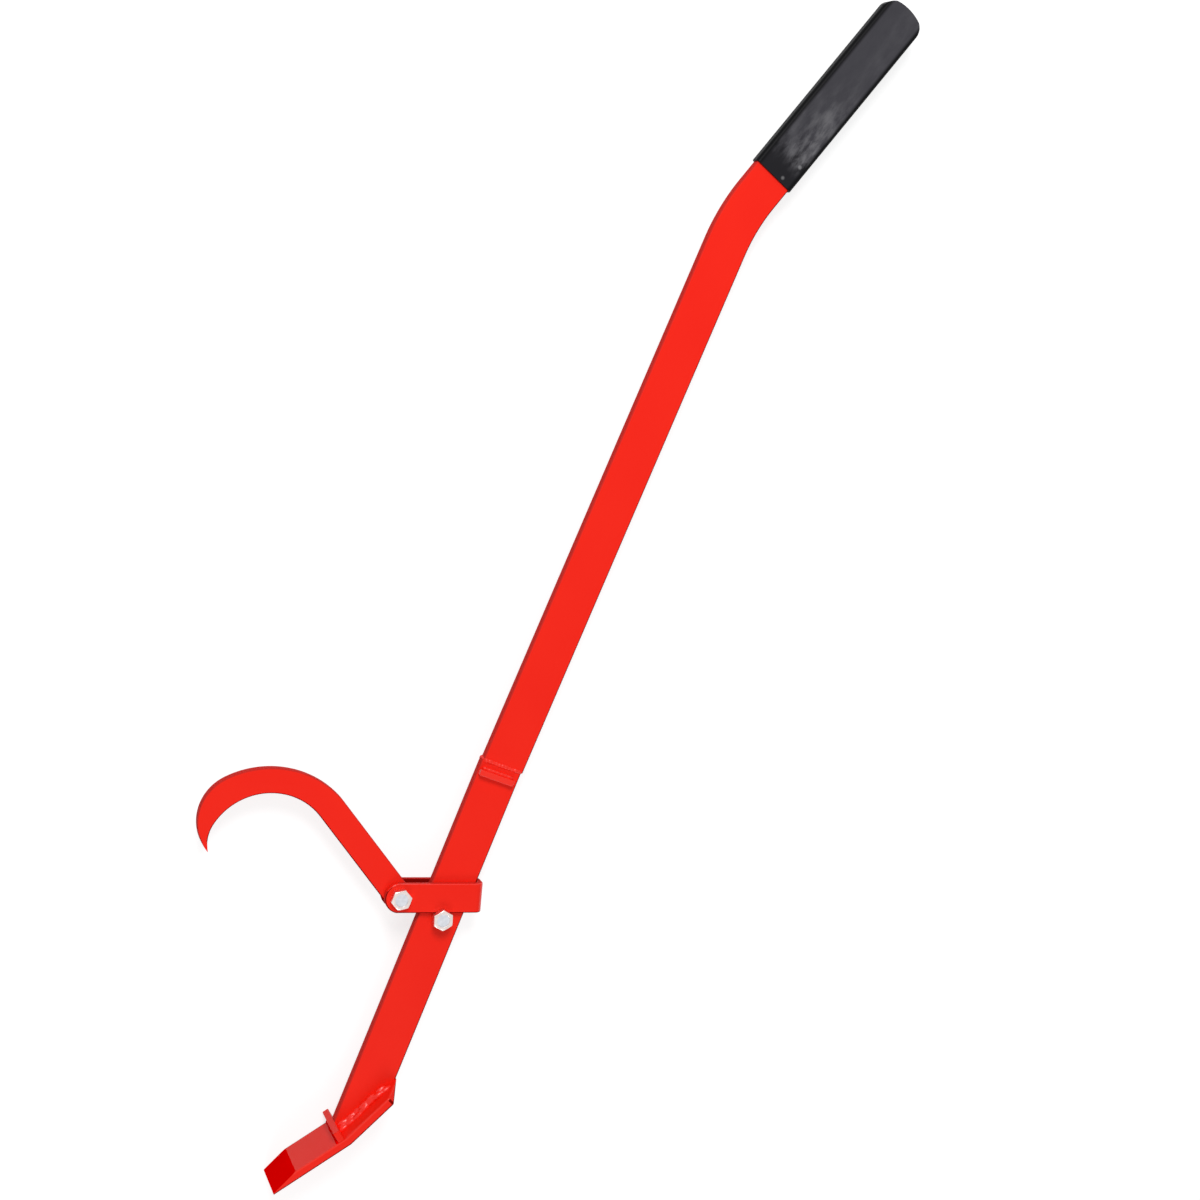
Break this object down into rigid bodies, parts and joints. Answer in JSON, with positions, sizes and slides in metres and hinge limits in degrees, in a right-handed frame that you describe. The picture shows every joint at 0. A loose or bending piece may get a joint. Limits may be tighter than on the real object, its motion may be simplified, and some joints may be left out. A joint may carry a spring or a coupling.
{
  "type": "felling lever with turning hook",
  "caption": "Red steel felling lever with a cranked gripped handle, a dog-leg wedge foot, and a swinging hook on a strap that slides along the bar, for turning logs.",
  "frame": {"origin": "middle of the flat sole of the toe, on the tool's mid-plane", "axes": "+X along the lower bar from the grip towards the foot, -Y towards the hook, +Z out of the face with the bolt heads"},
  "size_m": [1.2081, 0.3475, 0.053],
  "materials": {
    "red_powder_coat": "gloss red powder coat on steel",
    "zinc_steel": "bright zinc plate on steel",
    "black_pvc": "satin black soft PVC",
    "nylon": "nylon lock ring"
  },
  "bodies": {
    "lever": {"shaft_lower": "red_powder_coat", "shaft_upper": "red_powder_coat", "splice_weld": "red_powder_coat", "stop_bar": "red_powder_coat", "stop_bar_weld": "red_powder_coat", "foot_plate": "red_powder_coat", "foot_weld_front": "red_powder_coat", "foot_weld_back": "red_powder_coat", "foot_cleat": "red_powder_coat", "cleat_weld": "red_powder_coat", "grip": "black_pvc", "stop_bolt": "zinc_steel", "stop_washer": "zinc_steel", "stop_nut": "zinc_steel", "stop_nut_insert": "nylon"},
    "strap": {"strap": "red_powder_coat", "pivot_bolt": "zinc_steel", "pivot_washer": "zinc_steel", "pivot_nut": "zinc_steel", "pivot_nut_insert": "nylon"},
    "hook": {"hook": "red_powder_coat"}
  },
  "joints": [
    {"name": "strap_slide", "type": "slide", "parent": "lever", "child": "strap", "axis": [-1, 0, 0], "range_m": [0, 0.0945]},
    {"name": "hook_swing", "type": "hinge", "parent": "strap", "child": "hook", "pos_m": [-0.25634, -0.01562, 0], "axis": [0, 0, 1], "range_deg": [-62, 90]}
  ]
}
